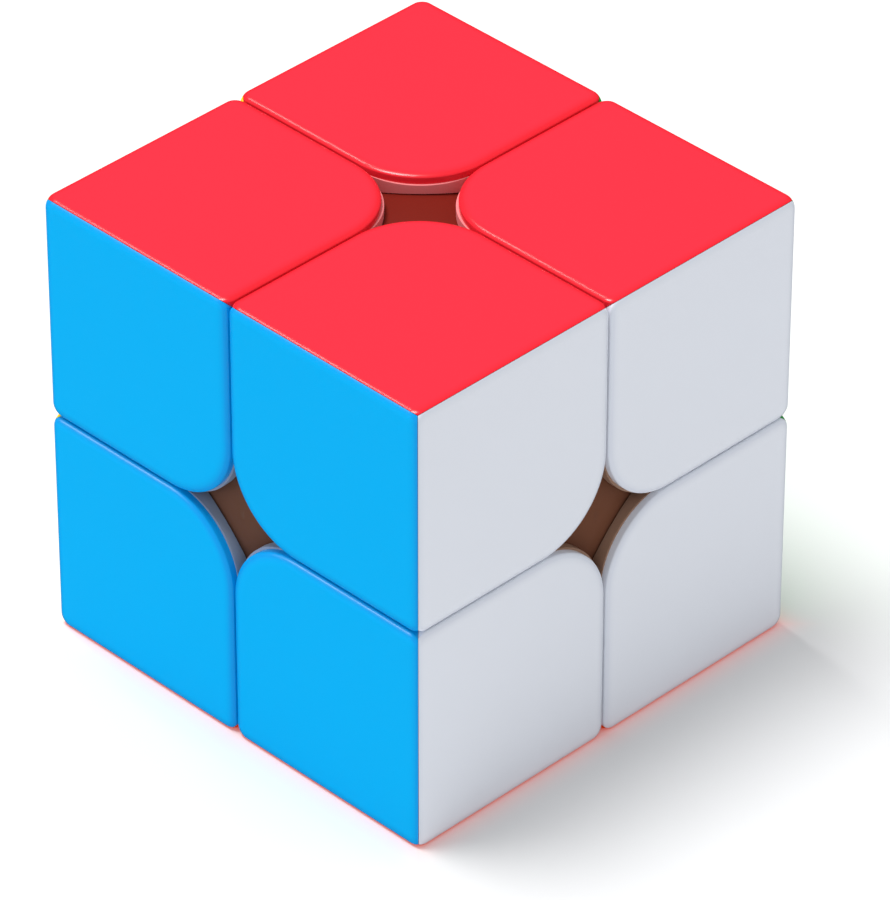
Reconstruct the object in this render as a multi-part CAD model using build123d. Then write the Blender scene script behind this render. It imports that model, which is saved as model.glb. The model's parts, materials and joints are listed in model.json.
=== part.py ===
from build123d import *
import os
from itertools import product

# A 2x2x2 twisty puzzle cube. The origin is the cube's centre and +Z is up.
# Every face where pieces slide is a plane square to an axis or a sphere about the centre,
# so each layer turns freely about its own axis. All sizes are in millimetres.

# the cube and its eight corner pieces
cube_size = 50.0
corner_gap = 0.24            # slot between two neighbouring corner pieces
cap_thickness = 1.0
shoulder_width = 1.3         # how far in from its outline a cap's face starts to curve down
shoulder_depth = 0.4         # how far the face has dropped when it meets the outline
cap_window_radius = 8.3      # rounded inner corner of a cap, which opens the face window
base_window_radius = 7.7     # the base stands slightly proud of the cap in the window
mitre_gap = 0.1              # seam where two caps of one corner meet
base_wall = 1.5
cap_peg_size = 6.0
cap_peg_depth = 2.0
peg_clearance = 0.05

# the hidden ball, parted by planes at two offsets and by concentric spheres
ball_radius = 23.2           # outside of the ball, which is the floor of each window
wing_radius = 17.0           # feet lie below this sphere and wings above it
core_radius = 9.0
wing_offset = 8.5            # planes that part the wings and necks
foot_offset = 5.5            # planes that part the feet and stems
clearance = 0.1              # taken off every sliding face

# the screw, spring and washer on each of the six axes, as heights above the centre
screw_start = 3.0
screw_radius = 1.4
screw_hole_radius = 1.7
post_radius = 2.5            # the core's post, which the centre piece turns on
post_top = 11.5
socket_radius = 2.6
socket_top = 11.7
ledge_height = 12.6          # the centre piece's ledge that the spring presses on
well_radius = 3.4
spring_bottom = 12.7
spring_top = 17.3
spring_radius = 2.3          # to the middle of the wire
spring_wire_radius = 0.3
spring_turns = 5
washer_radius = 3.1
washer_thickness = 0.4
head_radius = 2.7
head_height = 2.0
cross_width = 0.7
cross_length = 3.4
cross_depth = 1.2
centre_cap_radius = 7.2
centre_cap_seat = 20.7
centre_cap_plug = 0.6
press_gap = 0.03

half = cube_size / 2
face_gap = corner_gap / 2
skin_height = half - cap_thickness
reach = cube_size            # longer than any piece, for cutting blocks

directions = {
    "up": (0, 0, 1), "down": (0, 0, -1),
    "front": (0, -1, 0), "back": (0, 1, 0),
    "right": (1, 0, 0), "left": (-1, 0, 0),
}
colours = {
    "up": "red", "down": "orange",
    "front": "blue", "back": "green",
    "right": "white", "left": "yellow",
}


def block(low, high):
    """A box between two opposite corners."""
    size = [b - a for a, b in zip(low, high)]
    return Pos(*low) * Box(*size, align=Align.MIN)


def octant(offset):
    """Everything further than the offset along +X, +Y and +Z."""
    return block((offset,) * 3, (reach,) * 3)


def disc(radius, bottom, top):
    """A cylinder on the Z axis between two heights."""
    return Pos(0, 0, bottom) * Cylinder(radius, top - bottom, align=(Align.CENTER, Align.CENTER, Align.MIN))


def onto_face(solid, face):
    """A solid made on the corner piece's +Z face, turned onto its +X (0), +Y (1) or +Z (2) face."""
    return solid.rotate(Axis((0, 0, 0), (1, 1, 1)), 120 * (face + 1))


def rounded_cube(low, high, radius):
    """A cube in the positive octant with its three inner edges rounded."""
    solid = block((low,) * 3, (high,) * 3)
    middle = (low + high) / 2
    square = Pos(middle, middle) * Rectangle(high - low, high - low)
    inner_corner = square.vertices().sort_by_distance((0, 0, 0))[0]
    column = extrude(fillet(inner_corner, radius), high)
    for face in range(3):
        solid &= onto_face(column, face)
    return solid


def cap_section(low, high):
    """A cap's height against its width: flat in the middle, with an elliptical shoulder at each end."""
    middle = (low + high) / 2
    side_height = cap_thickness - shoulder_depth
    section = Pos(middle, skin_height + side_height / 2) * Rectangle(high - low, side_height)
    flat_width = high - low - 2 * shoulder_width
    section += Pos(middle, half - cap_thickness / 2) * Rectangle(flat_width, cap_thickness)
    for end in (low + shoulder_width, high - shoulder_width):
        section += Pos(end, half - shoulder_depth) * Ellipse(shoulder_width, shoulder_depth)
    return section


def cap_plate():
    """The plate of the +Z cap, with the same shoulder along its sides and round its window corner."""
    section = cap_section(face_gap, half)
    plate = extrude(Plane.XZ * section, -reach) & extrude(Plane.YZ * section, reach)
    arc_middle = face_gap + cap_window_radius
    window_corner = block((0, 0, 0), (arc_middle, arc_middle, reach))
    half_section = cap_section(-cap_window_radius, cap_window_radius) & (
        Pos(reach / 2, half) * Rectangle(reach, reach)
    )
    pebble = Pos(arc_middle, arc_middle) * revolve(Plane.XZ * half_section, Axis.Z)
    return plate - window_corner + (pebble & window_corner)


def face_cap():
    """The coloured cap on the +Z face: mitred against its two neighbours, with a snap peg below."""
    seam = (0, 0, mitre_gap / 2**0.5)
    cap = split(cap_plate(), Plane(seam, z_dir=(-1, 0, 1)))
    cap = split(cap, Plane(seam, z_dir=(0, -1, 1)))
    middle = (face_gap + skin_height) / 2
    peg = Pos(middle, middle, skin_height) * Box(
        cap_peg_size, cap_peg_size, cap_peg_depth, align=(Align.CENTER, Align.CENTER, Align.MAX)
    )
    return cap + peg


def corner_base():
    """The pale moulding: a hollow shell outside the ball, a neck through it and a foot inside."""
    shell = rounded_cube(face_gap, skin_height, base_window_radius) - Sphere(ball_radius + clearance)
    hollow = rounded_cube(
        face_gap + base_wall, skin_height - base_wall, base_window_radius - base_wall
    ) - Sphere(ball_radius + clearance + base_wall)
    neck = octant(wing_offset + clearance) & Sphere(ball_radius + clearance + base_wall / 2)
    foot = octant(foot_offset + clearance) & Sphere(wing_radius - clearance)
    body = shell - hollow + neck + (foot - Sphere(core_radius + clearance))
    middle = (face_gap + skin_height) / 2
    slot_size = cap_peg_size + 2 * peg_clearance
    slot_bottom = skin_height - cap_peg_depth - peg_clearance
    slot = block(
        (middle - slot_size / 2, middle - slot_size / 2, slot_bottom),
        (middle + slot_size / 2, middle + slot_size / 2, reach),
    )
    for face in range(3):
        body -= onto_face(slot, face)
    return body


def inner_edge():
    """The hidden edge piece between +X and +Z: a wing under the shells and a foot beneath it."""
    side = wing_offset - clearance
    low = wing_offset + clearance
    wing = block((low, -side, low), (reach, side, reach)) & Sphere(ball_radius)
    wing -= Sphere(wing_radius + clearance)
    side = foot_offset - clearance
    low = foot_offset + clearance
    foot = block((low, -side, low), (reach, side, reach)) & Sphere(wing_radius - clearance)
    low = wing_offset + clearance
    neck = block((low, -side, low), (reach, side, reach)) & Sphere(wing_radius + 2 * clearance)
    return wing + neck + (foot - Sphere(core_radius + clearance))


def centre_piece():
    """The hidden centre on +Z: a square wing on a square stem, bored for its screw and spring."""
    side = wing_offset - clearance
    wing = block((-side, -side, 0), (side, side, reach)) & Sphere(ball_radius)
    wing -= Sphere(wing_radius + clearance)
    side = foot_offset - clearance
    low = foot_offset + clearance
    stem = block((-side, -side, low), (side, side, reach)) & Sphere(wing_radius + 2 * clearance)
    body = wing + (stem - Sphere(core_radius + clearance))
    body -= disc(socket_radius, 0, socket_top)
    body -= disc(screw_hole_radius, 0, reach)
    body -= disc(well_radius, ledge_height, reach)
    return body - disc(centre_cap_radius + press_gap, centre_cap_seat, reach)


def centre_cap():
    """The domed cover over the screw well."""
    dome = disc(centre_cap_radius, centre_cap_seat, reach) & Sphere(ball_radius)
    return dome + disc(well_radius - press_gap, centre_cap_seat - centre_cap_plug, centre_cap_seat)


def tension_screw():
    """A screw whose shank runs from inside the core up to its cross-head."""
    head_bottom = spring_top + washer_thickness
    head_top = head_bottom + head_height
    screw = disc(screw_radius, screw_start, head_bottom)
    screw += disc(head_radius, head_bottom, head_top)
    screw = chamfer(screw.edges().group_by(Axis.Z)[-1], 0.3)
    cross_bottom = head_top - cross_depth
    for length, width in ((cross_length, cross_width), (cross_width, cross_length)):
        screw -= block((-length / 2, -width / 2, cross_bottom), (length / 2, width / 2, reach))
    return screw


def spring():
    """A round-wire compression spring on the screw's shank."""
    height = spring_top - spring_bottom - 2 * spring_wire_radius
    line = Helix(height / spring_turns, height, spring_radius)
    line = Pos(0, 0, spring_bottom + spring_wire_radius) * line
    wire = Plane(line @ 0, z_dir=line % 0) * Circle(spring_wire_radius)
    return sweep(wire, path=line, is_frenet=True)


def washer():
    """The washer between a spring and its screw's head."""
    return disc(washer_radius, spring_top, spring_top + washer_thickness) - disc(
        screw_radius, spring_top, spring_top + washer_thickness
    )


def core():
    """The ball at the middle, with six posts that the centre pieces turn on."""
    body = Sphere(core_radius)
    for direction in directions.values():
        body += aimed(disc(post_radius, 0, post_top), direction)
    for direction in directions.values():
        body -= aimed(disc(screw_radius, screw_start, reach), direction)
    return body


def aimed(solid, direction):
    """A solid made on +Z, turned to another face of the cube."""
    return Plane((0, 0, 0), z_dir=direction).location * solid


def into_octant(solid, signs):
    """A solid made in the positive octant, turned into another one."""
    if signs[2] < 0:
        solid = solid.rotate(Axis((0, 0, 0), (1, 1, 0)), 180)
    quarter_turns = {(1, 1): 0, (-1, 1): 1, (-1, -1): 2, (1, -1): 3}
    return solid.rotate(Axis.Z, 90 * quarter_turns[signs[:2]])


def facing(solid):
    """The name of the cube face that a cap lies on."""
    middle = solid.center()
    return max(directions, key=lambda face: middle.dot(Vector(directions[face])))


def write(solid, name):
    """Write one node to its own file."""
    export_step(solid, f"parts/{name}.step")
    print(f"{name}: {len(solid.solids())} solid(s), {solid.volume:.1f} mm3")


def write_corners():
    """Eight corners, each one base and three coloured caps."""
    base = corner_base()
    cap = face_cap()
    caps = [onto_face(cap, face) for face in range(3)]
    sides = ({1: "right", -1: "left"}, {1: "back", -1: "front"}, {1: "up", -1: "down"})
    for signs in product((1, -1), repeat=3):
        x_side, y_side, z_side = (names[sign] for names, sign in zip(sides, signs))
        corner = f"corner_{z_side}_{y_side}_{x_side}"
        write(into_octant(base, signs), f"{corner}_base")
        for solid in caps:
            placed = into_octant(solid, signs)
            write(placed, f"{corner}_{colours[facing(placed)]}_cap")


def write_edges():
    """Twelve hidden edge pieces, one between each pair of neighbouring faces."""
    edge = inner_edge()
    pairs = [(a, b) for a in ("up", "down") for b in ("front", "back", "right", "left")]
    pairs += [(a, b) for a in ("front", "back") for b in ("right", "left")]
    for first, second in pairs:
        place = Plane((0, 0, 0), x_dir=directions[second], z_dir=directions[first]).location
        write(place * edge, f"edge_{first}_{second}")


def write_axes():
    """The core and what each of its six axes holds."""
    piece = centre_piece()
    cover = centre_cap()
    for face, direction in directions.items():
        write(aimed(piece, direction), f"centre_{face}")
        write(aimed(cover, direction), f"centre_{face}_cap")
    write(core(), "core")
    for name, solid in (("tension_screws", tension_screw()), ("springs", spring()), ("washers", washer())):
        write(Compound([aimed(solid, direction) for direction in directions.values()]), name)


os.makedirs("parts", exist_ok=True)
write_corners()
write_edges()
write_axes()
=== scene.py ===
import json
import math

import bpy
from mathutils import Matrix, Vector


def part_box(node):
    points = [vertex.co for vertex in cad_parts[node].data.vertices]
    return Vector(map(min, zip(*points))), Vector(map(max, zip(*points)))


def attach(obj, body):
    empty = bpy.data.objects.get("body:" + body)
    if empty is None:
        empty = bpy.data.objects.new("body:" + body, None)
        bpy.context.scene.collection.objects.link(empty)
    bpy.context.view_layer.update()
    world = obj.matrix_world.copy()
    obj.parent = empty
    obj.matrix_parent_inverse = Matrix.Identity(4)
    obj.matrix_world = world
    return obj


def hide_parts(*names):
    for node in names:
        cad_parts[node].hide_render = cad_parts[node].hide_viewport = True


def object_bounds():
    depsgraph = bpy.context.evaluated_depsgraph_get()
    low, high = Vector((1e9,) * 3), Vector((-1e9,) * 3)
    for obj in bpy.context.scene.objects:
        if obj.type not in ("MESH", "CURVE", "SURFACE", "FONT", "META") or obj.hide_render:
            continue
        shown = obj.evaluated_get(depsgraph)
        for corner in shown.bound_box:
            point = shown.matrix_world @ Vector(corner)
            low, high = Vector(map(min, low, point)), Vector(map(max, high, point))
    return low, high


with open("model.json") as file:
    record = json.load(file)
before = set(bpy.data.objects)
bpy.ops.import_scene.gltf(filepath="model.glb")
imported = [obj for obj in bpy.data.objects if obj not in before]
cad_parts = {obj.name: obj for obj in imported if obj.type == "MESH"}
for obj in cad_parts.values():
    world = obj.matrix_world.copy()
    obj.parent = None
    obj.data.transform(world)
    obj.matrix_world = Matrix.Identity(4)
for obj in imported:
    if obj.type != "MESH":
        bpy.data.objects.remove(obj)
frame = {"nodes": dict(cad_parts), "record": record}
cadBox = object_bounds()
record = frame["record"]
nodes = frame["nodes"]
half = cadBox[1].x  # half of the cube's edge
mm = 0.001
sides = {
    "up": Vector((0, 0, 1)), "down": Vector((0, 0, -1)),
    "front": Vector((0, -1, 0)), "back": Vector((0, 1, 0)),
    "right": Vector((1, 0, 0)), "left": Vector((-1, 0, 0)),
}
sideColours = {
    "up": "red", "down": "orange", "front": "blue",
    "back": "green", "right": "white", "left": "yellow",
}
bodyOf = {node: body for body, names in record["behaviour"]["bodies"].items() for node in names}
slotOf = {part["node"]: part["material_slot"] for part in record["subparts"]}


# camera

cameraLook = {
    "azimuth": 45.40, "elevation": 35.44, "roll": -0.11, "distance": 0.6635, "lens": 277.56,
    "sensorWidth": 36.0, "shiftX": 0.0273, "shiftY": -0.0396, "clipStart": 0.05, "clipEnd": 10.0,
}


def addCamera(look):
    a, e = math.radians(look["azimuth"]), math.radians(look["elevation"])
    back = Vector((math.sin(a) * math.cos(e), -math.cos(a) * math.cos(e), math.sin(e)))
    data = bpy.data.cameras.new("camera")
    data.lens = look["lens"]
    data.sensor_width = look["sensorWidth"]
    data.shift_x = look["shiftX"]
    data.shift_y = look["shiftY"]
    data.clip_start = look["clipStart"]
    data.clip_end = look["clipEnd"]
    camera = bpy.data.objects.new("camera", data)
    camera.rotation_mode = "QUATERNION"
    camera.location = back * look["distance"]
    turn = (-back).to_track_quat("-Z", "Y")
    roll = Matrix.Rotation(math.radians(look["roll"]), 3, "Z").to_quaternion()
    camera.rotation_quaternion = turn @ roll
    bpy.context.scene.collection.objects.link(camera)
    bpy.context.scene.camera = camera
    print("camera placed")


addCamera(cameraLook)


# node helpers

def labelOf(key):
    # a size such as wireRadius is the node input Wire Radius
    return "".join(" " + letter if letter.isupper() else letter for letter in key).title()


def addSocket(tree, label, kind, value=None, way="INPUT"):
    socket = tree.interface.new_socket(name=label, in_out=way, socket_type=f"NodeSocket{kind}")
    if value is not None:
        socket.default_value = value


def addNode(tree, kind, values=None, **settings):
    node = tree.nodes.new(kind)
    for key, value in settings.items():
        setattr(node, key, value)
    for key, value in (values or {}).items():
        socket = node.inputs[key]
        for source in value if isinstance(value, list) else [value]:
            if isinstance(source, bpy.types.NodeSocket):
                tree.links.new(source, socket)
            else:
                socket.default_value = source
    return node


def calc(tree, operation, first, second=0.0):
    node = addNode(tree, "ShaderNodeMath", {0: first, 1: second}, operation=operation)
    return node.outputs[0]


def vector(tree, x=0.0, y=0.0, z=0.0):
    return addNode(tree, "ShaderNodeCombineXYZ", {"X": x, "Y": y, "Z": z}).outputs[0]


def remap(tree, value, **ends):
    # fromMin, fromMax, toMin and toMax say which range becomes which
    values = {"Value": value, **{labelOf(key): end for key, end in ends.items()}}
    return addNode(tree, "ShaderNodeMapRange", values).outputs[0]


def mixed(tree, share, first, second, blend="MIX"):
    values = {0: share, 6: first, 7: second}
    return addNode(tree, "ShaderNodeMix", values, data_type="RGBA", blend_type=blend).outputs[2]


# geometry nodes

crispness = {"cap": 25.0, "spring": 40.0, "screw": 30.0}  # edges steeper than these degrees stay sharp


def asInputs(sizes):
    # a piece's sizes as node inputs: millimetres become metres, and whole numbers are counts
    return {labelOf(key): size if isinstance(size, int) else size * mm for key, size in sizes.items()}


def newTree(name, sizes):
    tree = bpy.data.node_groups.new(name, "GeometryNodeTree")
    for label, value in asInputs(sizes).items():
        addSocket(tree, label, "Int" if isinstance(value, int) else "Float", value)
    addSocket(tree, "Material", "Material")
    addSocket(tree, "Geometry", "Geometry", way="OUTPUT")
    return tree, tree.nodes.new("NodeGroupInput").outputs


def endTree(tree, geometry, material):
    real = addNode(tree, "GeometryNodeRealizeInstances", {"Geometry": geometry}).outputs[0]
    coloured = addNode(tree, "GeometryNodeSetMaterial", {"Geometry": real, "Material": material})
    tree.links.new(coloured.outputs[0], tree.nodes.new("NodeGroupOutput").inputs[0])


def joined(tree, *parts):
    node = addNode(tree, "GeometryNodeJoinGeometry")
    for part in parts:
        tree.links.new(part, node.inputs[0])
    return node.outputs[0]


def moved(tree, geometry, **change):
    # the change is a translation, a rotation or a scale
    values = {"Geometry": geometry, **{labelOf(key): value for key, value in change.items()}}
    return addNode(tree, "GeometryNodeTransform", values).outputs[0]


def swept(tree, path, section, closed=False):
    values = {"Curve": path, "Profile Curve": section, "Fill Caps": closed}
    return addNode(tree, "GeometryNodeCurveToMesh", values).outputs[0]


def line(tree, start, end):
    return addNode(tree, "GeometryNodeCurvePrimitiveLine", {"Start": start, "End": end}).outputs[0]


def combined(tree, operation, *parts):
    # a difference takes the later parts out of the first
    values = {0: parts[0], 1: list(parts[1:])} if operation == "DIFFERENCE" else {1: list(parts)}
    return addNode(tree, "GeometryNodeMeshBoolean", values, operation=operation, solver="EXACT").outputs[0]


def sharpBy(tree, geometry, degrees):
    # smooth faces, with edges steeper than the angle kept crisp
    smooth = addNode(tree, "GeometryNodeSetShadeSmooth",
                     {"Geometry": geometry, "Shade Smooth": True}, domain="FACE").outputs[0]
    angle = addNode(tree, "GeometryNodeInputMeshEdgeAngle").outputs["Unsigned Angle"]
    steep = addNode(tree, "FunctionNodeCompare", {"A": angle, "B": math.radians(degrees)},
                    operation="GREATER_THAN").outputs[0]
    values = {"Geometry": smooth, "Selection": steep, "Shade Smooth": False}
    return addNode(tree, "GeometryNodeSetShadeSmooth", values, domain="EDGE").outputs[0]


def grow(name, tree, sizes, material):
    # runs a tree with a piece's sizes and keeps the result as a plain mesh
    values = {**asInputs(sizes), "Material": material}
    holder = bpy.data.objects.new(name, bpy.data.meshes.new(name))
    bpy.context.scene.collection.objects.link(holder)
    modifier = holder.modifiers.new("shape", "NODES")
    modifier.node_group = tree
    for item in tree.interface.items_tree:
        if item.in_out == "INPUT":
            modifier[item.identifier] = values[item.name]
    weigh = holder.modifiers.new("flat faces stay flat", "WEIGHTED_NORMAL")
    weigh.keep_sharp = True
    bpy.context.view_layer.update()
    shown = holder.evaluated_get(bpy.context.evaluated_depsgraph_get())
    mesh = bpy.data.meshes.new_from_object(shown)
    mesh.materials.clear()
    mesh.materials.append(material)
    bpy.data.objects.remove(holder)
    mesh.name = name
    return mesh


def place(name, mesh, node):
    # the finished piece stands for a CAD node and rides on its body
    piece = bpy.data.objects.new(name, mesh)
    bpy.context.scene.collection.objects.link(piece)
    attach(piece, bodyOf[node])
    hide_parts(node)


# moulded plastic: fine spark-eroded grain, faint flow clouds in the colour, slightly uneven gloss and
# rounded edges with painted shade that darkens their colour, and polished by handling

capFinish = {  # the grain's depth in millimetres
    "roughness": 0.24, "glossChange": 0.05, "specular": 0.05, "deepShare": 0.93,
    "cloudScale": 60.0, "cloudAmount": 0.35, "patchScale": 240.0,
    "grainScale": 6000.0, "grainStrength": 0.12, "grainDepth": 0.02, "ior": 1.5,
    # the edge numbers: where rounded edges begin and end, the painted shade that darkens them, and their
    # polish
    "edgeStart": 0.999, "edgeFull": 0.95, "edgeDepth": 0.35, "edgePolish": 0.6, "edgeRoughness": 0.22,
}
capColours = {
    "red": (0.84, 0.027, 0.047), "orange": (0.90, 0.13, 0.01), "blue": (0.0, 0.42, 0.86),
    "green": (0.01, 0.45, 0.06), "white": (0.84, 0.87, 0.94), "yellow": (0.95, 0.75, 0.01),
}
innerFinish = {
    **capFinish,
    "roughness": 0.42, "glossChange": 0.08, "specular": 0.06, "deepShare": 0.85, "cloudAmount": 0.5,
    "grainScale": 4000.0, "grainStrength": 0.2, "grainDepth": 0.03,
    "edgeDepth": 0.0, "edgePolish": 0.2, "edgeRoughness": 0.4,
}
innerColours = {
    # the base's colour is painted darker and warmer than its pale plastic, standing in for the shade and
    # bounce light in the windows
    "base_plastic": (0.38, 0.23, 0.16),
    "inner_plastic": (0.175, 0.067, 0.036),
    "core_plastic": (0.55, 0.54, 0.55),
}
surfaceInputs = ("roughness", "glossChange", "cloudScale", "cloudAmount", "patchScale", "grainScale",
                 "edgeStart", "edgeFull", "edgeDepth")


def newSurfaceGroup():
    group = bpy.data.node_groups.new("mouldedSurface", "ShaderNodeTree")
    for label in ("Colour", "Deep Colour"):
        addSocket(group, label, "Color")
    for key in surfaceInputs:
        addSocket(group, labelOf(key), "Float", capFinish[key])
    addSocket(group, "Colour", "Color", way="OUTPUT")
    for label in ("Roughness", "Height", "Edge"):
        addSocket(group, label, "Float", way="OUTPUT")
    given = group.nodes.new("NodeGroupInput").outputs
    coordinates = group.nodes.new("ShaderNodeTexCoord").outputs
    where = coordinates["Object"]
    clouds = addNode(group, "ShaderNodeTexNoise",
                     {"Vector": where, "Scale": given["Cloud Scale"], "Detail": 3.0, "Roughness": 0.5})
    grain = addNode(group, "ShaderNodeTexNoise",
                    {"Vector": where, "Scale": given["Grain Scale"], "Detail": 2.0, "Roughness": 0.6})
    patches = addNode(group, "ShaderNodeTexNoise",
                      {"Vector": where, "Scale": given["Patch Scale"], "Detail": 4.0})
    amount = calc(group, "MULTIPLY", clouds.outputs["Fac"], given["Cloud Amount"])
    cloudy = mixed(group, amount, given["Colour"], given["Deep Colour"])
    uneven = calc(group, "SUBTRACT", patches.outputs["Fac"], 0.5)
    change = calc(group, "MULTIPLY", uneven, given["Gloss Change"])
    # a rounded edge is where the surface leans off the axis that it faces
    level = addNode(group, "ShaderNodeVectorMath", {0: coordinates["Normal"]}, operation="ABSOLUTE")
    parts = addNode(group, "ShaderNodeSeparateXYZ", {0: level.outputs[0]}).outputs
    squareness = calc(group, "MAXIMUM", calc(group, "MAXIMUM", parts[0], parts[1]), parts[2])
    edge = remap(group, squareness, fromMin=given["Edge Start"], fromMax=given["Edge Full"])
    # painted shade: on the rounded edges the colour is multiplied by itself, which darkens it
    depth = calc(group, "MULTIPLY", edge, given["Edge Depth"])
    end = group.nodes.new("NodeGroupOutput").inputs
    group.links.new(mixed(group, depth, cloudy, cloudy, "MULTIPLY"), end["Colour"])
    group.links.new(calc(group, "ADD", given["Roughness"], change), end["Roughness"])
    group.links.new(grain.outputs["Fac"], end["Height"])
    group.links.new(edge, end["Edge"])
    return group


surfaceGroup = newSurfaceGroup()


def newMaterial(name, colour):
    material = bpy.data.materials.new(name)
    material.use_nodes = True
    material.diffuse_color = (*colour, 1)
    tree = material.node_tree
    return material, tree, tree.nodes["Principled BSDF"].inputs


def plastic(name, colour, look):
    material, tree, shader = newMaterial(name, colour)
    surface = tree.nodes.new("ShaderNodeGroup")
    surface.node_tree = surfaceGroup
    surface.inputs["Colour"].default_value = (*colour, 1)
    surface.inputs["Deep Colour"].default_value = (*[part * look["deepShare"] for part in colour], 1)
    for key in surfaceInputs:
        surface.inputs[labelOf(key)].default_value = look[key]
    bump = addNode(tree, "ShaderNodeBump", {"Height": surface.outputs["Height"],
                   "Strength": look["grainStrength"], "Distance": look["grainDepth"] * mm})
    polish = calc(tree, "MULTIPLY", surface.outputs["Edge"], look["edgePolish"])
    tree.links.new(surface.outputs["Colour"], shader["Base Color"])
    tree.links.new(surface.outputs["Roughness"], shader["Roughness"])
    tree.links.new(bump.outputs["Normal"], shader["Normal"])
    tree.links.new(polish, shader["Coat Weight"])
    shader["Coat Roughness"].default_value = look["edgeRoughness"]
    shader["Specular IOR Level"].default_value = look["specular"]
    shader["IOR"].default_value = look["ior"]
    return material


# painted bounce light: colour standing in for light that comes through and off the caps, painted onto what
# lies under them: heights in millimetres, and shares

capGlow = {
    "from": 18.5, "to": 22.0, "palest": 0.9, "paleness": 0.25,
    "red": 0.92, "orange": 0.92, "blue": 0.45, "green": 0.45, "white": 0.0, "yellow": 0.50,
}
windowBounceTint = {
    "from": 15.0, "to": 19.0, "palest": 0.9, "paleness": 0.0,
    "red": 0.82, "orange": 0.82, "blue": 0.25, "green": 0.25, "white": 0.0, "yellow": 0.50,
}


def tintOf(colour, look, blend):
    tint = [part + (look["palest"] - part) * look["paleness"] for part in colour]
    return [part / max(tint) for part in tint] if blend == "MULTIPLY" else tint


def newBounceTintGroup(name, look, blend):
    group = bpy.data.node_groups.new(name, "ShaderNodeTree")
    addSocket(group, "Colour", "Color")
    addSocket(group, "From", "Float", look["from"] * mm)
    addSocket(group, "To", "Float", look["to"] * mm)
    addSocket(group, "Colour", "Color", way="OUTPUT")
    given = group.nodes.new("NodeGroupInput").outputs
    where = group.nodes.new("ShaderNodeTexCoord").outputs["Object"]
    colour = given["Colour"]
    # each side paints its cap's colour onto what lies close under it, standing in for that cap's bounce
    # light
    for side, direction in sides.items():
        paint = sideColours[side]
        tint = tintOf(capColours[paint], look, blend)
        height = addNode(group, "ShaderNodeVectorMath", {0: where, 1: direction}, operation="DOT_PRODUCT")
        share = remap(group, height.outputs["Value"], fromMin=given["From"], fromMax=given["To"],
                      toMax=look[paint])
        colour = mixed(group, share, colour, (*tint, 1), blend)
    group.links.new(colour, group.nodes.new("NodeGroupOutput").inputs[0])
    return group


def addBounceTint(material, group):
    tree = material.node_tree
    tint = tree.nodes.new("ShaderNodeGroup")
    tint.node_tree = group
    baseColour = tree.nodes["Principled BSDF"].inputs["Base Color"]
    tree.links.new(baseColour.links[0].from_socket, tint.inputs["Colour"])
    tree.links.new(tint.outputs["Colour"], baseColour)


# plated steel: small patches of gloss and a light plating colour

steelLooks = {
    "screw_steel": {"colour": (0.60, 0.60, 0.62), "worn": (0.48, 0.47, 0.45),
                    "roughness": 0.32, "roughnessChange": 0.08, "patchScale": 1800.0},
    "spring_steel": {"colour": (0.52, 0.52, 0.54), "worn": (0.40, 0.39, 0.38),
                     "roughness": 0.28, "roughnessChange": 0.08, "patchScale": 2500.0},
    "washer_steel": {"colour": (0.64, 0.64, 0.66), "worn": (0.52, 0.51, 0.50),
                     "roughness": 0.36, "roughnessChange": 0.08, "patchScale": 1500.0},
}


def steel(name, look):
    material, tree, shader = newMaterial(name, look["colour"])
    where = tree.nodes.new("ShaderNodeTexCoord").outputs["Object"]
    patches = addNode(tree, "ShaderNodeTexNoise",
                      {"Vector": where, "Scale": look["patchScale"], "Detail": 3.0}).outputs["Fac"]
    tint = mixed(tree, patches, (*look["colour"], 1), (*look["worn"], 1))
    rough = remap(tree, patches, toMin=look["roughness"] - look["roughnessChange"],
                  toMax=look["roughness"] + look["roughnessChange"])
    tree.links.new(tint, shader["Base Color"])
    tree.links.new(rough, shader["Roughness"])
    shader["Metallic"].default_value = 1.0
    return material


materials = {}
for paint, colour in capColours.items():
    materials[f"{paint}_plastic"] = plastic(f"{paint}Plastic", colour, capFinish)
for slot, colour in innerColours.items():
    materials[slot] = plastic(slot.replace("_p", "P"), colour, innerFinish)
# painted bounce light: the base and the inner plastic take colour from the caps nearest them
addBounceTint(materials["base_plastic"], newBounceTintGroup("capGlow", capGlow, "MIX"))
addBounceTint(materials["inner_plastic"], newBounceTintGroup("windowBounceTint", windowBounceTint, "MULTIPLY"))
for slot, look in steelLooks.items():
    materials[slot] = steel(slot.replace("_s", "S"), look)
print("materials made:", len(materials))


# coloured caps: a plate with soft shoulders all round, cut to a mitre on its two outer edges

cap = {  # millimetres, with whole numbers for counts
    "windowRadius": 8.3, "shoulderWidth": 1.3, "shoulderDepth": 0.4, "thickness": 1.0, "mitreGap": 0.04,
    "pegSize": 6.0, "pegDepth": 2.0, "cornerRadius": 0.02, "weld": 0.002, "wedgeSize": 100.0,
    "arcSteps": 24, "shoulderSteps": 10,
    "halfEdge": half / mm, "sideGap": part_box("corner_up_back_right_red_cap")[0].x / mm,
}


windowCorner = 2  # its number among the corners of the node's square


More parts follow.
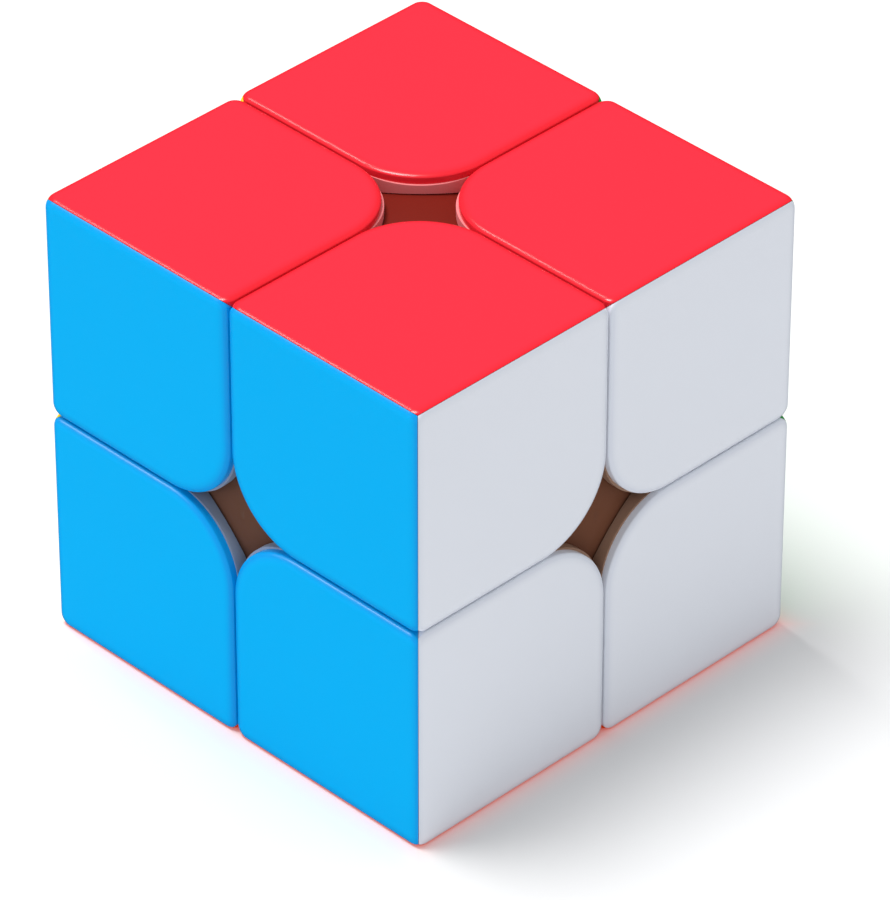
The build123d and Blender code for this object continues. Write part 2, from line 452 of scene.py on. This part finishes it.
def roundedPlate(tree, given, width):
    # lies in the XY plane with its top at height 0, and is rounded at the window's corner
    pathWidth = calc(tree, "SUBTRACT", width, calc(tree, "MULTIPLY", given["Shoulder Width"], 2.0))
    square = addNode(tree, "GeometryNodeCurvePrimitiveQuadrilateral",
                     {"Width": pathWidth, "Height": pathWidth}).outputs[0]
    # the window is at the square's corner on the -X and -Y side
    number = tree.nodes.new("GeometryNodeInputIndex").outputs[0]
    inner = addNode(tree, "FunctionNodeCompare", {"A": number, "B": windowCorner}, data_type="INT",
                    operation="EQUAL").outputs[0]
    pathRadius = calc(tree, "SUBTRACT", given["Window Radius"], given["Shoulder Width"])
    radius = addNode(tree, "GeometryNodeSwitch", {"Switch": inner, "False": given["Corner Radius"],
                     "True": pathRadius}, input_type="FLOAT").outputs[0]
    path = addNode(tree, "GeometryNodeFilletCurve", {"Curve": square, "Count": given["Arc Steps"],
                   "Radius": radius}, mode="POLY").outputs[0]
    # the section of the edge: a quarter ellipse, then straight down to the underside and back in
    arc = addNode(tree, "GeometryNodeCurveArc", {"Resolution": given["Shoulder Steps"], "Radius": 1.0,
                  "Start Angle": -math.pi / 2, "Sweep Angle": math.pi / 2}).outputs[0]
    ellipse = vector(tree, given["Shoulder Width"], given["Shoulder Depth"], 1.0)
    shoulder = moved(tree, arc, scale=ellipse, translation=vector(tree, y=given["Shoulder Depth"]))
    shoulderFoot = vector(tree, given["Shoulder Width"], given["Shoulder Depth"])
    sideFoot = vector(tree, given["Shoulder Width"], given["Thickness"])
    side = line(tree, shoulderFoot, sideFoot)
    under = line(tree, sideFoot, vector(tree, y=given["Thickness"]))
    skirts = [swept(tree, path, section) for section in (shoulder, side, under)]
    top = addNode(tree, "GeometryNodeFillCurve", {"Curve": path}, mode="NGONS").outputs[0]
    turned = addNode(tree, "GeometryNodeFlipFaces", {"Mesh": top}).outputs[0]
    down = calc(tree, "MULTIPLY", given["Thickness"], -1.0)
    bottom = moved(tree, turned, translation=vector(tree, z=down))
    shell = joined(tree, *skirts, top, bottom)
    return addNode(tree, "GeometryNodeMergeByDistance",
                   {"Geometry": shell, "Distance": given["Weld"]}).outputs[0]


def capTree():
    tree, given = newTree("cornerCap", cap)
    width = calc(tree, "SUBTRACT", given["Half Edge"], given["Side Gap"])
    middle = calc(tree, "MULTIPLY", calc(tree, "ADD", given["Half Edge"], given["Side Gap"]), 0.5)
    topMiddle = vector(tree, middle, middle, given["Half Edge"])
    plate = moved(tree, roundedPlate(tree, given, width), translation=topMiddle)
    # the mitre keeps what is further along Z than along X or Y
    wedgeHeight = calc(tree, "MULTIPLY", given["Wedge Size"], math.sqrt(0.5))
    pyramid = addNode(tree, "GeometryNodeMeshCone", {"Vertices": 4, "Radius Top": given["Wedge Size"],
                      "Radius Bottom": 0.0, "Depth": wedgeHeight}, fill_type="NGON").outputs[0]
    seam = calc(tree, "MULTIPLY", given["Mitre Gap"], math.sqrt(0.5))
    wedge = moved(tree, pyramid, translation=vector(tree, z=seam), rotation=(0, 0, math.pi / 4))
    mitred = combined(tree, "INTERSECT", plate, wedge)
    # the peg goes from the middle of the plate's thickness down into the base
    pegHeight = calc(tree, "ADD", given["Peg Depth"], calc(tree, "MULTIPLY", given["Thickness"], 0.5))
    pegDrop = calc(tree, "ADD", calc(tree, "MULTIPLY", given["Thickness"], 1.5), given["Peg Depth"])
    pegMiddle = calc(tree, "SUBTRACT", given["Half Edge"], calc(tree, "MULTIPLY", pegDrop, 0.5))
    pegSize = vector(tree, given["Peg Size"], given["Peg Size"], pegHeight)
    block = addNode(tree, "GeometryNodeMeshCube", {"Size": pegSize}).outputs[0]
    peg = moved(tree, block, translation=vector(tree, middle, middle, pegMiddle))
    whole = combined(tree, "UNION", mitred, peg)
    endTree(tree, sharpBy(tree, whole, crispness["cap"]), given["Material"])
    return tree


def turnOnto(corner, face):
    # the turn that takes the +Z face of the positive corner onto a face of another corner
    up = sides[face]
    others = [sides[name] for name in corner if name != face]
    if others[0].cross(others[1]).dot(up) < 0:
        others.reverse()
    return Matrix((others[0], others[1], up)).transposed().to_4x4()


def addCaps():
    tree = capTree()
    shapes = {paint: grow(f"{paint}Cap", tree, cap, materials[f"{paint}_plastic"]) for paint in capColours}
    for node in nodes:
        if node.startswith("corner_") and node.endswith("_cap"):
            corner = node.split("_")[1:4]
            paint = node.split("_")[4]
            face = next(name for name in corner if sideColours[name] == paint)
            mesh = shapes[paint].copy()
            mesh.transform(turnOnto(corner, face))
            place("cap_" + "_".join([*corner, paint]), mesh, node)
    print("caps placed, with", len(shapes["red"].polygons), "faces each")


addCaps()


# springs and screws, one of each on the six axes

spring = {  # millimetres, with whole numbers for counts
    "bottom": 12.7, "top": 17.3, "coilRadius": 2.3, "wireRadius": 0.3, "closedPitch": 0.62,
    "markerSize": 2.0, "turns": 5, "stepsPerTurn": 40, "wireSides": 14,
}
screw = {  # millimetres, with whole numbers for counts
    "bottom": 3.0, "headBottom": 17.7, "headHeight": 2.0, "headRadius": 2.7, "domeRadius": 6.4,
    "shankRadius": 1.16, "threadRadius": 1.4, "threadPitch": 0.9, "threadTop": 15.9,
    "crossLength": 3.4, "crossWidth": 0.7, "crossDepth": 1.2, "overlap": 0.1, "markerSize": 2.0,
    "sides": 48, "stepsPerTurn": 28, "ridgeSides": 4,
}


def onSixAxes(tree, geometry, markerSize):
    # copies a piece made on +Z onto all six axes, by the faces of a small cube
    cube = addNode(tree, "GeometryNodeMeshCube", {"Size": markerSize}).outputs[0]
    points = addNode(tree, "GeometryNodeMeshToPoints", {"Mesh": cube}, mode="FACES").outputs[0]
    outward = tree.nodes.new("GeometryNodeInputPosition").outputs[0]
    turn = addNode(tree, "FunctionNodeAlignRotationToVector", {"Vector": outward}, axis="Z").outputs[0]
    copies = addNode(tree, "GeometryNodeInstanceOnPoints",
                     {"Points": points, "Instance": geometry, "Rotation": turn}).outputs[0]
    back = vector(tree, z=calc(tree, "MULTIPLY", markerSize, -0.5))
    return addNode(tree, "GeometryNodeTranslateInstances",
                   {"Instances": copies, "Translation": back, "Local Space": True}).outputs[0]


def helix(tree, radius, turns, steps):
    # a flat spiral, with the number of turns made so far at each of its points
    flat = addNode(tree, "GeometryNodeCurveSpiral", {"Resolution": steps, "Rotations": turns,
                   "Start Radius": radius, "End Radius": radius, "Height": 0.0}).outputs[0]
    along = tree.nodes.new("GeometryNodeSplineParameter").outputs["Factor"]
    return flat, calc(tree, "MULTIPLY", along, turns)


def wound(tree, flat, height, radius, sideCount):
    # lifts a flat spiral to its heights and gives it a round section
    raised = addNode(tree, "GeometryNodeSetPosition",
                     {"Geometry": flat, "Offset": vector(tree, z=height)}).outputs[0]
    section = addNode(tree, "GeometryNodeCurvePrimitiveCircle",
                      {"Resolution": sideCount, "Radius": radius}).outputs[0]
    return swept(tree, raised, section, closed=True)


def springTree():
    tree, given = newTree("axisSpring", spring)
    flat, turn = helix(tree, given["Coil Radius"], given["Turns"], given["Steps Per Turn"])
    height = calc(tree, "SUBTRACT", calc(tree, "SUBTRACT", given["Top"], given["Bottom"]),
                  calc(tree, "MULTIPLY", given["Wire Radius"], 2.0))
    spare = calc(tree, "SUBTRACT", height, calc(tree, "MULTIPLY", given["Closed Pitch"], given["Turns"]))
    # the first and last turns lie closed, and the turns between them share the spare height
    share = remap(tree, turn, fromMin=1.0, fromMax=calc(tree, "SUBTRACT", given["Turns"], 1.0))
    rise = calc(tree, "ADD", calc(tree, "MULTIPLY", turn, given["Closed Pitch"]),
                calc(tree, "MULTIPLY", share, spare))
    start = calc(tree, "ADD", given["Bottom"], given["Wire Radius"])
    wire = wound(tree, flat, calc(tree, "ADD", rise, start), given["Wire Radius"], given["Wire Sides"])
    crisp = sharpBy(tree, wire, crispness["spring"])
    endTree(tree, onSixAxes(tree, crisp, given["Marker Size"]), given["Material"])
    return tree


def drum(tree, radius, bottom, top, sideCount):
    # a cylinder between two heights
    height = calc(tree, "SUBTRACT", top, bottom)
    shape = addNode(tree, "GeometryNodeMeshCylinder",
                    {"Vertices": sideCount, "Radius": radius, "Depth": height}).outputs[0]
    middle = calc(tree, "MULTIPLY", calc(tree, "ADD", top, bottom), 0.5)
    return moved(tree, shape, translation=vector(tree, z=middle))


def screwBlank(tree, given, headTop):
    # a domed head on a plain shank
    head = drum(tree, given["Head Radius"], given["Head Bottom"], headTop, given["Sides"])
    ball = addNode(tree, "GeometryNodeMeshUVSphere", {"Segments": given["Sides"],
                   "Rings": given["Sides"], "Radius": given["Dome Radius"]}).outputs[0]
    ballMiddle = calc(tree, "SUBTRACT", headTop, given["Dome Radius"])
    domed = combined(tree, "INTERSECT", head, moved(tree, ball, translation=vector(tree, z=ballMiddle)))
    shankTop = calc(tree, "ADD", given["Head Bottom"], given["Overlap"])
    shank = drum(tree, given["Shank Radius"], given["Bottom"], shankTop, given["Sides"])
    return combined(tree, "UNION", domed, shank)


def screwTree():
    tree, given = newTree("axisScrew", screw)
    headTop = calc(tree, "ADD", given["Head Bottom"], given["Head Height"])
    # the cross recess
    slots = []
    for length, width in (("Cross Length", "Cross Width"), ("Cross Width", "Cross Length")):
        depth = calc(tree, "MULTIPLY", given["Cross Depth"], 2.0)
        size = vector(tree, given[length], given[width], depth)
        bar = addNode(tree, "GeometryNodeMeshCube", {"Size": size}).outputs[0]
        slots.append(moved(tree, bar, translation=vector(tree, z=headTop)))
    body = combined(tree, "DIFFERENCE", screwBlank(tree, given, headTop), *slots)
    # the thread is one ridge wound round the shank
    length = calc(tree, "SUBTRACT", given["Thread Top"], given["Bottom"])
    turned = calc(tree, "SUBTRACT", length, given["Thread Pitch"])
    turns = calc(tree, "DIVIDE", turned, given["Thread Pitch"])
    flat, turn = helix(tree, given["Shank Radius"], turns, given["Steps Per Turn"])
    start = calc(tree, "ADD", given["Bottom"], calc(tree, "MULTIPLY", given["Thread Pitch"], 0.5))
    rise = calc(tree, "ADD", start, calc(tree, "MULTIPLY", turn, given["Thread Pitch"]))
    ridge = calc(tree, "SUBTRACT", given["Thread Radius"], given["Shank Radius"])
    thread = wound(tree, flat, rise, ridge, given["Ridge Sides"])
    crisp = sharpBy(tree, joined(tree, body, thread), crispness["screw"])
    endTree(tree, onSixAxes(tree, crisp, given["Marker Size"]), given["Material"])
    return tree


def addHardware():
    for name, tree, sizes, node in (("axisSprings", springTree(), spring, "springs"),
                                    ("axisScrews", screwTree(), screw, "tension_screws")):
        mesh = grow(name, tree, sizes, materials[slotOf[node]])
        place(name, mesh, node)
        print(name, "made:", len(mesh.polygons), "faces")


addHardware()


# every other CAD node keeps its shape and takes its own finish

def finishNodes():
    for node, thing in nodes.items():
        if not thing.data.materials:
            thing.data.materials.append(None)
        for number in range(len(thing.material_slots)):
            thing.material_slots[number].material = materials[slotOf[node]]
    print("finishes given to", len(nodes), "nodes")


finishNodes()


# floor and light

studio = {  # the floor's size in metres, and its gap and the reach of the bounce in millimetres
    "floorSize": 4.0, "floorGap": 0.01, "floorWhite": 0.72, "whiteChange": 0.01, "cloudScale": 12.0,
    "floorRoughness": 0.6, "floorSpecular": 0.2, "floorGlow": 0.08,
    "bounceReach": 3.5, "bounceFade": 2.5, "bounceColour": (3.2, 0.5, 0.35),
    "ambient": 0.64, "ambientColour": (0.98, 0.99, 1.0),
}
lamps = {  # watts, and the size and place in metres
    "keyLight": (12.4, 0.48, (-0.27, -0.15, 1.15)),
    "fillLight": (2.0, 0.7, (-0.72, -0.92, 0.16)),
    "topGlint": (1.0, 0.13, (-0.72, 0.12, 0.98)),
    "sideGlint": (1.0, 0.13, (-0.70, -0.97, 0.12)),
}


def newBounceGroup():
    # light thrown onto the floor along the foot of a square block, fading outwards
    group = bpy.data.node_groups.new("footBounce", "ShaderNodeTree")
    addSocket(group, "Half Edge", "Float", half)
    addSocket(group, "Reach", "Float", studio["bounceReach"] * mm)
    addSocket(group, "Fade", "Float", studio["bounceFade"])
    addSocket(group, "Share", "Float", way="OUTPUT")
    given = group.nodes.new("NodeGroupInput").outputs
    where = group.nodes.new("ShaderNodeTexCoord").outputs["Object"]
    apart = addNode(group, "ShaderNodeVectorMath", {0: where}, operation="ABSOLUTE").outputs[0]
    parts = addNode(group, "ShaderNodeSeparateXYZ", {0: apart}).outputs
    outside = calc(group, "SUBTRACT", calc(group, "MAXIMUM", parts[0], parts[1]), given["Half Edge"])
    near = remap(group, outside, fromMax=given["Reach"], toMin=1.0, toMax=0.0)
    share = calc(group, "POWER", near, given["Fade"])
    group.links.new(share, group.nodes.new("NodeGroupOutput").inputs[0])
    return group


def floorMaterial():
    white = studio["floorWhite"]
    material, tree, shader = newMaterial("floorWhite", (white, white, white))
    clouds = addNode(tree, "ShaderNodeTexNoise", {"Scale": studio["cloudScale"], "Detail": 2.0})
    tone = remap(tree, clouds.outputs["Fac"], toMin=white - studio["whiteChange"],
                 toMax=white + studio["whiteChange"])
    bounce = tree.nodes.new("ShaderNodeGroup")
    bounce.node_tree = newBounceGroup()
    glow = mixed(tree, bounce.outputs[0], (1, 1, 1, 1), (*studio["bounceColour"], 1))
    tree.links.new(tone, shader["Base Color"])
    tree.links.new(glow, shader["Emission Color"])
    shader["Emission Strength"].default_value = studio["floorGlow"]
    shader["Roughness"].default_value = studio["floorRoughness"]
    shader["Specular IOR Level"].default_value = studio["floorSpecular"]
    return material


def addFloor():
    mesh = bpy.data.meshes.new("floor")
    r, z = studio["floorSize"] / 2, cadBox[0].z - studio["floorGap"] * mm
    mesh.from_pydata([(-r, -r, z), (r, -r, z), (r, r, z), (-r, r, z)], [], [(0, 1, 2, 3)])
    mesh.materials.append(floorMaterial())
    floor = bpy.data.objects.new("floor", mesh)
    bpy.context.scene.collection.objects.link(floor)
    floor.visible_glossy = False  # only the lamps show in the plastic's gloss


def addWorld():
    world = bpy.data.worlds.new("studio")
    world.use_nodes = True
    background = world.node_tree.nodes["Background"].inputs
    background["Color"].default_value = (*studio["ambientColour"], 1)
    background["Strength"].default_value = studio["ambient"]
    world.cycles_visibility.glossy = False
    bpy.context.scene.world = world
    bpy.context.scene.view_settings.view_transform = "Standard"


def addLamp(name, watts, size, spot):
    data = bpy.data.lights.new(name, "AREA")
    data.energy = watts
    data.shape = "DISK"
    data.size = size
    lamp = bpy.data.objects.new(name, data)
    lamp.location = spot
    lamp.rotation_mode = "QUATERNION"
    lamp.rotation_quaternion = (-Vector(spot)).to_track_quat("-Z", "Y")
    bpy.context.scene.collection.objects.link(lamp)


addFloor()
addWorld()
for name, lamp in lamps.items():
    addLamp(name, *lamp)
print("studio lit")
